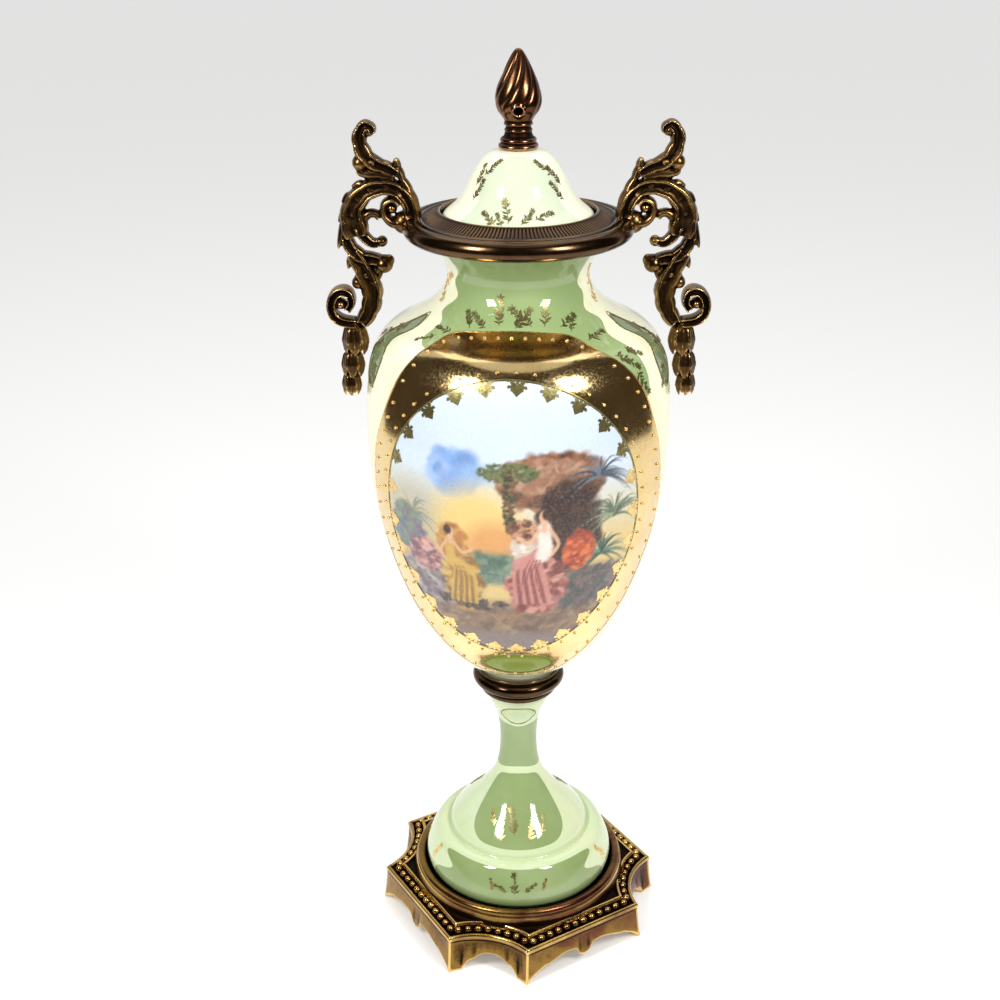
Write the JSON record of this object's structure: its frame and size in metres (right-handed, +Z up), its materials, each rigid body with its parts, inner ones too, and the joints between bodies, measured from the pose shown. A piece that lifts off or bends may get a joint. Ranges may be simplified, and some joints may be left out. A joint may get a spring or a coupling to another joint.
{
  "type": "mantel urn",
  "caption": "Lidded porcelain urn on a stemmed foot, with a cast brass plinth, collar, rim ring, scroll handles and flame finial.",
  "frame": {"origin": "on the surface it stands on, under the urn's axis", "axes": "+Z up the urn's axis, X through both handles, the painted front faces -Y"},
  "size_m": [0.1516, 0.1264, 0.385],
  "materials": {
    "porcelain": "glossy pearl glaze, mint green to cream, with gilding",
    "plinth_brass": "aged golden brass with a red-brown patina in the recesses",
    "collar_brass": "dark polished patina",
    "ring_brass": "dark bronze patina with rubbed highlights",
    "handle_brass": "dark patina in the recesses, bright rubbed scroll edges",
    "finial_brass": "copper-brown patina"
  },
  "bodies": {
    "root": {"base": "plinth_brass", "pedestal": "porcelain", "collar": "collar_brass", "body": "porcelain", "rim_ring": "ring_brass", "handle_right": "handle_brass", "handle_left": "handle_brass", "lid": "porcelain", "finial": "finial_brass"}
  },
  "joints": []
}
